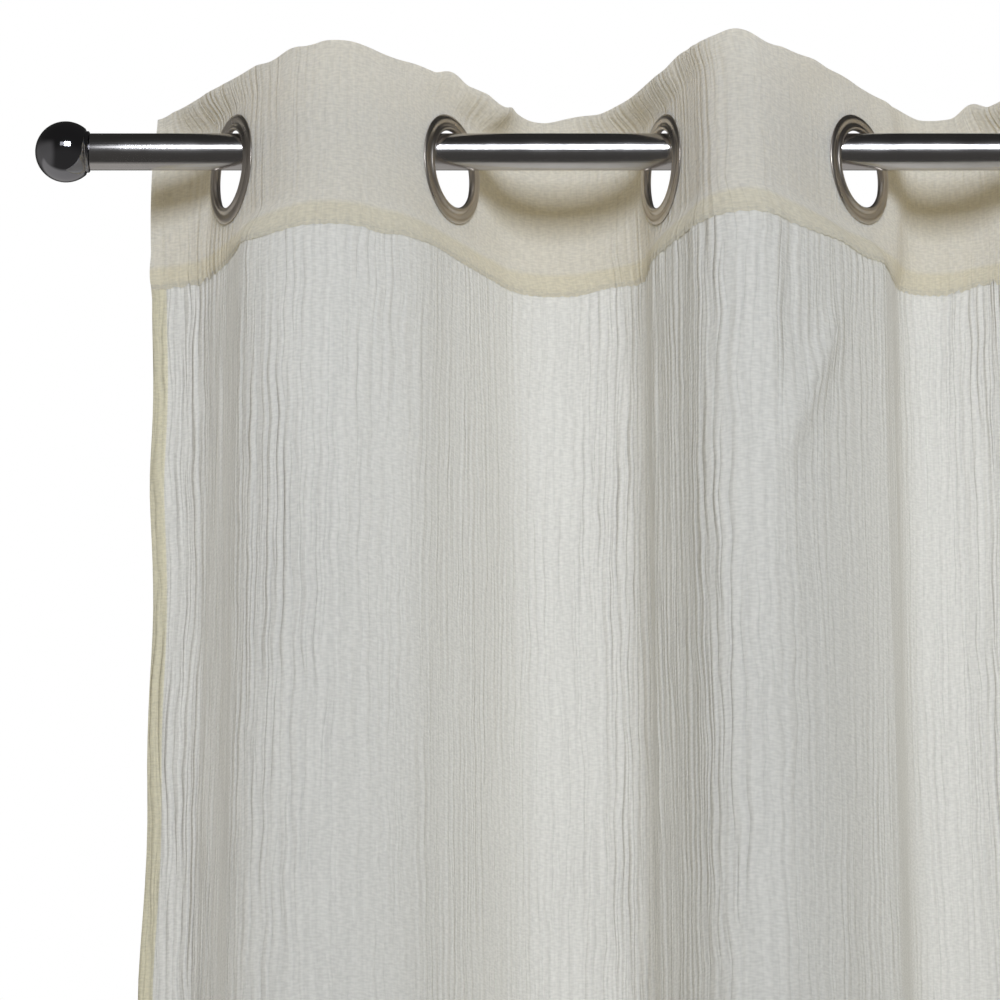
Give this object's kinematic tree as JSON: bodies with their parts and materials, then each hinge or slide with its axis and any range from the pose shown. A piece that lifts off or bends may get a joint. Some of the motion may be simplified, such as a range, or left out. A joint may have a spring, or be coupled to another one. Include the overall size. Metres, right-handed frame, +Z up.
{
  "type": "eyelet curtain on a rod",
  "caption": "Semi-sheer crinkled cloth curtain with metal eyelets, hanging in deep uneven folds from a round rod with ball finials.",
  "frame": {"origin": "on the rod's axis, halfway along the rod", "axes": "+X along the rod, +Y towards the wall behind the curtain, +Z up"},
  "size_m": [1.0002, 0.153, 2.4],
  "materials": {
    "panel_cloth": "off-white crinkled open weave, semi-sheer, matt",
    "heading_cloth": "the same cloth folded double, cream, matt",
    "eyelet_nickel": "satin nickel plate",
    "rod_steel": "brushed along its length",
    "finial_chrome": "polished dark chrome"
  },
  "bodies": {
    "root": {"panel": "panel_cloth", "heading": "heading_cloth", "rod": "rod_steel", "finial_left": "finial_chrome", "finial_right": "finial_chrome", "eyelet_front_1": "eyelet_nickel", "eyelet_back_1": "eyelet_nickel", "eyelet_front_2": "eyelet_nickel", "eyelet_back_2": "eyelet_nickel", "eyelet_front_3": "eyelet_nickel", "eyelet_back_3": "eyelet_nickel", "eyelet_front_4": "eyelet_nickel", "eyelet_back_4": "eyelet_nickel", "eyelet_front_5": "eyelet_nickel", "eyelet_back_5": "eyelet_nickel", "eyelet_front_6": "eyelet_nickel", "eyelet_back_6": "eyelet_nickel", "eyelet_front_7": "eyelet_nickel", "eyelet_back_7": "eyelet_nickel", "eyelet_front_8": "eyelet_nickel", "eyelet_back_8": "eyelet_nickel"}
  },
  "joints": []
}
